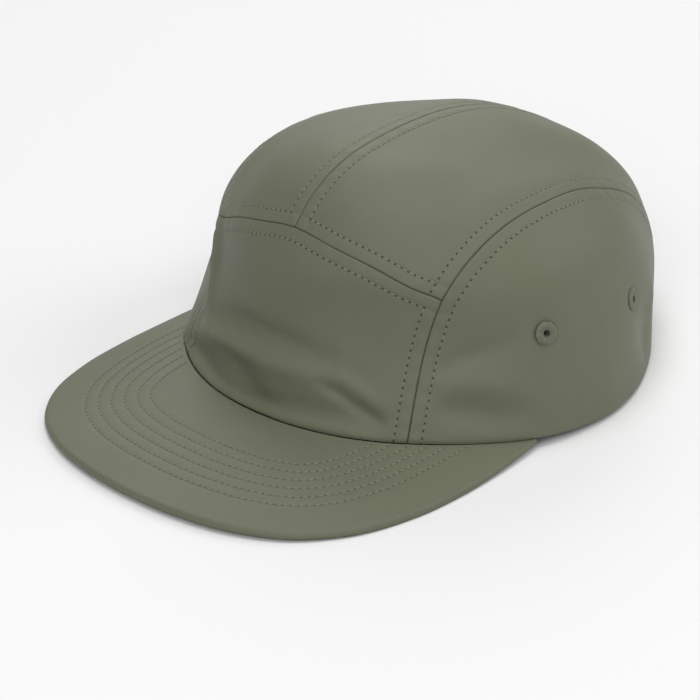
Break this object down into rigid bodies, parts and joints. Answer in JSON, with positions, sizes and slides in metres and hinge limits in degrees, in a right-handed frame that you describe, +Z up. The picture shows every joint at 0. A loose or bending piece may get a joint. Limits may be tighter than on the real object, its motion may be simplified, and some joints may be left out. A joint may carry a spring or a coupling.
{
  "type": "five panel cap",
  "caption": "Soft five panel cap with a curved stitched peak, side eyelets and a strap across an arch at the back.",
  "frame": {"origin": "on the floor, under the middle of the cap's length and width", "axes": "+Z up from the floor, the peak points to -Y, +X is the wearer's left"},
  "size_m": [0.182, 0.2516, 0.0944],
  "materials": {
    "crown_cloth": "smooth fine woven nylon, matt with a faint sheen",
    "peak_cloth": "smooth fine woven nylon over a firm board, matt",
    "eyelet_thread": "tight satin stitch",
    "webbing": "flat woven webbing, matt",
    "slide_plastic": "fine grained moulded plastic"
  },
  "bodies": {
    "root": {"front_panel": "crown_cloth", "top_panel_left": "crown_cloth", "top_panel_right": "crown_cloth", "side_panel_left": "crown_cloth", "side_panel_right": "crown_cloth", "peak": "peak_cloth", "eyelet_left_front": "eyelet_thread", "eyelet_left_rear": "eyelet_thread", "eyelet_right_front": "eyelet_thread", "eyelet_right_rear": "eyelet_thread", "back_strap": "webbing", "buckle": "slide_plastic"}
  },
  "joints": []
}
